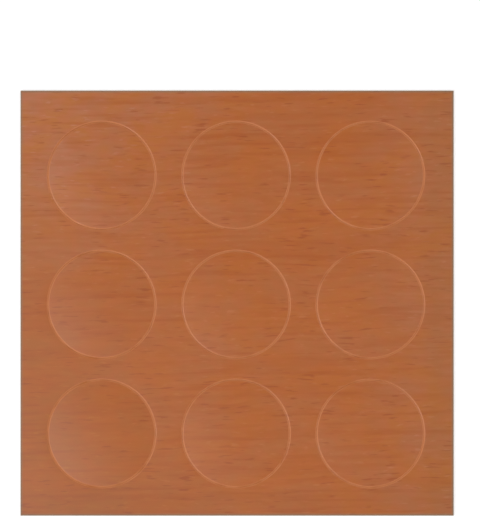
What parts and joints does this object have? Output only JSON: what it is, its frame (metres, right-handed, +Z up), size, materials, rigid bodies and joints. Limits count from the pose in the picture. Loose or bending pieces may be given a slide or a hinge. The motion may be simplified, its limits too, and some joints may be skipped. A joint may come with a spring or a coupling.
{
  "type": "self-adhesive screw cover cap sheet",
  "caption": "Flat sheet of round self-adhesive screw cover caps, kiss-cut from wood-effect film on a release liner; each cap peels off to hide a screw head.",
  "frame": {"origin": "middle of the sheet's outline, on the underside of the release liner", "axes": "+Z up out of the printed face, +X to the right and +Y towards the far edge, as the sheet is seen from above with the wood grain running along X"},
  "size_m": [0.0806, 0.079, 0.0009],
  "materials": {
    "decor_film": "satin",
    "liner_paper": "satin"
  },
  "bodies": {
    "root": {"release_liner": "liner_paper", "film_surround": "decor_film", "cap_row1_col1": "decor_film", "cap_row1_col2": "decor_film", "cap_row1_col3": "decor_film", "cap_row2_col1": "decor_film", "cap_row2_col2": "decor_film", "cap_row2_col3": "decor_film", "cap_row3_col1": "decor_film", "cap_row3_col2": "decor_film", "cap_row3_col3": "decor_film"}
  },
  "joints": []
}
